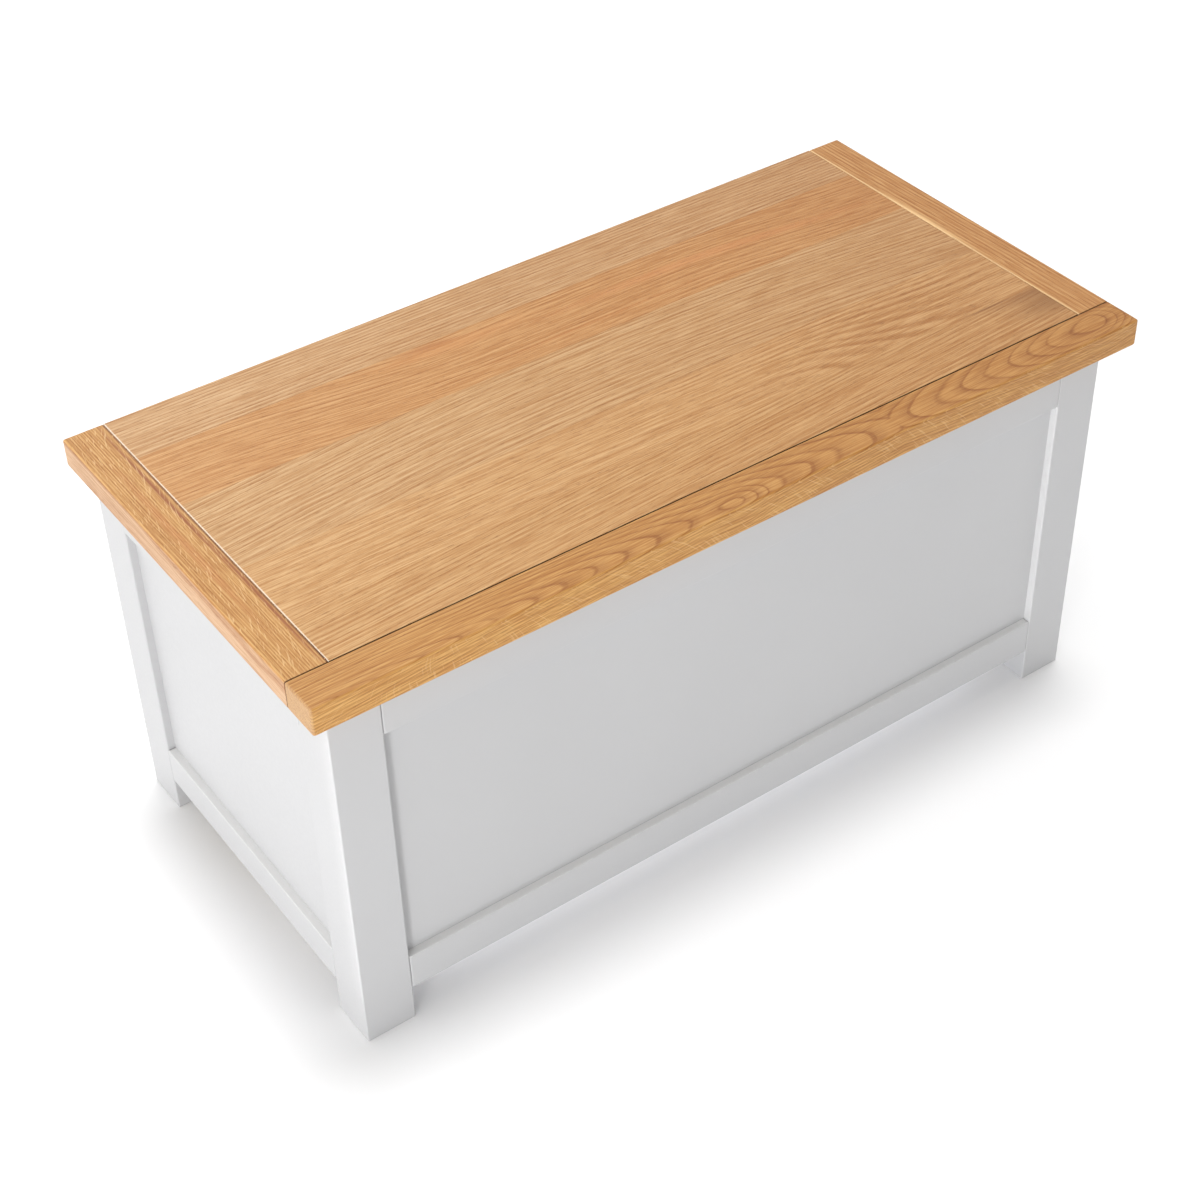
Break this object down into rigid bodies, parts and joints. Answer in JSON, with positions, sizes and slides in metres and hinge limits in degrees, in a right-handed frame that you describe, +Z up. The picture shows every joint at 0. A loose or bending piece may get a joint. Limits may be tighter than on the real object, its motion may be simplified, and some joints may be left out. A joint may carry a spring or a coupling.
{
  "type": "blanket chest",
  "caption": "Framed and panelled storage chest on square posts, with a hinged oak lid held by two folding stays.",
  "frame": {"origin": "on the floor, under the middle of the overall box (lid and hinge knuckles)", "axes": "+X along the length, to the right seen from the front; +Y from front to back; +Z up"},
  "size_m": [1, 0.4964, 0.485],
  "materials": {
    "painted_wood": "satin",
    "solid_oak": "satin",
    "plywood": "matte",
    "brass": "satin",
    "steel": "brushed",
    "stay_housing": "matte"
  },
  "bodies": {
    "chest_body": {"post_front_left": "painted_wood", "post_front_right": "painted_wood", "post_rear_right": "painted_wood", "post_rear_left": "painted_wood", "front_top_rail": "painted_wood", "front_bottom_rail": "painted_wood", "front_panel": "painted_wood", "right_top_rail": "painted_wood", "right_bottom_rail": "painted_wood", "right_panel": "painted_wood", "rear_top_rail": "painted_wood", "rear_bottom_rail": "painted_wood", "rear_panel": "painted_wood", "left_top_rail": "painted_wood", "left_bottom_rail": "painted_wood", "left_panel": "painted_wood", "front_cleat": "plywood", "rear_cleat": "plywood", "floor_panel": "plywood", "hinge_left_body_leaf": "brass", "hinge_left_pin": "steel", "hinge_right_body_leaf": "brass", "hinge_right_pin": "steel", "hinge_left_body_screw_1": "brass", "hinge_left_body_screw_2": "brass", "hinge_left_body_screw_3": "brass", "hinge_right_body_screw_1": "brass", "hinge_right_body_screw_2": "brass", "hinge_right_body_screw_3": "brass", "stay_left_housing": "stay_housing", "stay_left_arm_pin": "steel", "stay_right_housing": "stay_housing", "stay_right_arm_pin": "steel"},
    "lid": {"lid_front_rail": "solid_oak", "lid_left_rail": "solid_oak", "lid_right_rail": "solid_oak", "lid_board_1": "solid_oak", "lid_board_2": "solid_oak", "lid_board_3": "solid_oak", "lid_board_4": "solid_oak", "lid_board_5": "solid_oak", "hinge_left_lid_leaf": "brass", "hinge_right_lid_leaf": "brass", "hinge_left_lid_screw_1": "brass", "hinge_left_lid_screw_2": "brass", "hinge_left_lid_screw_3": "brass", "hinge_right_lid_screw_1": "brass", "hinge_right_lid_screw_2": "brass", "hinge_right_lid_screw_3": "brass", "stay_left_lid_bracket": "steel", "stay_left_lid_pin": "steel", "stay_right_lid_bracket": "steel", "stay_right_lid_pin": "steel"},
    "left_stay_arm": {"stay_left_arm": "steel", "stay_left_elbow_pin": "steel"},
    "left_stay_link": {"stay_left_link": "steel"},
    "right_stay_arm": {"stay_right_arm": "steel", "stay_right_elbow_pin": "steel"},
    "right_stay_link": {"stay_right_link": "steel"}
  },
  "joints": [
    {"name": "lid_hinge", "type": "hinge", "parent": "chest_body", "child": "lid", "pos_m": [0, 0.24515, 0.4527], "axis": [-1, 0, 0], "range_deg": [0, 95]},
    {"name": "left_arm_turn", "type": "hinge", "parent": "chest_body", "child": "left_stay_arm", "pos_m": [-0.4399, 0.16975, 0.4177], "axis": [-1, 0, 0], "range_deg": [0, 95]},
    {"name": "left_link_turn", "type": "hinge", "parent": "left_stay_arm", "child": "left_stay_link", "pos_m": [-0.4366, -0.05025, 0.4057], "axis": [-1, 0, 0], "range_deg": [-95, 0]},
    {"name": "right_arm_turn", "type": "hinge", "parent": "chest_body", "child": "right_stay_arm", "pos_m": [0.4399, 0.16975, 0.4177], "axis": [-1, 0, 0], "range_deg": [0, 95]},
    {"name": "right_link_turn", "type": "hinge", "parent": "right_stay_arm", "child": "right_stay_link", "pos_m": [0.4366, -0.05025, 0.4057], "axis": [-1, 0, 0], "range_deg": [-95, 0]}
  ],
  "couplings": [
    {"joint": "left_arm_turn", "follows": "lid_hinge", "ratio": 1},
    {"joint": "left_link_turn", "follows": "lid_hinge", "ratio": -1},
    {"joint": "right_arm_turn", "follows": "lid_hinge", "ratio": 1},
    {"joint": "right_link_turn", "follows": "lid_hinge", "ratio": -1}
  ]
}
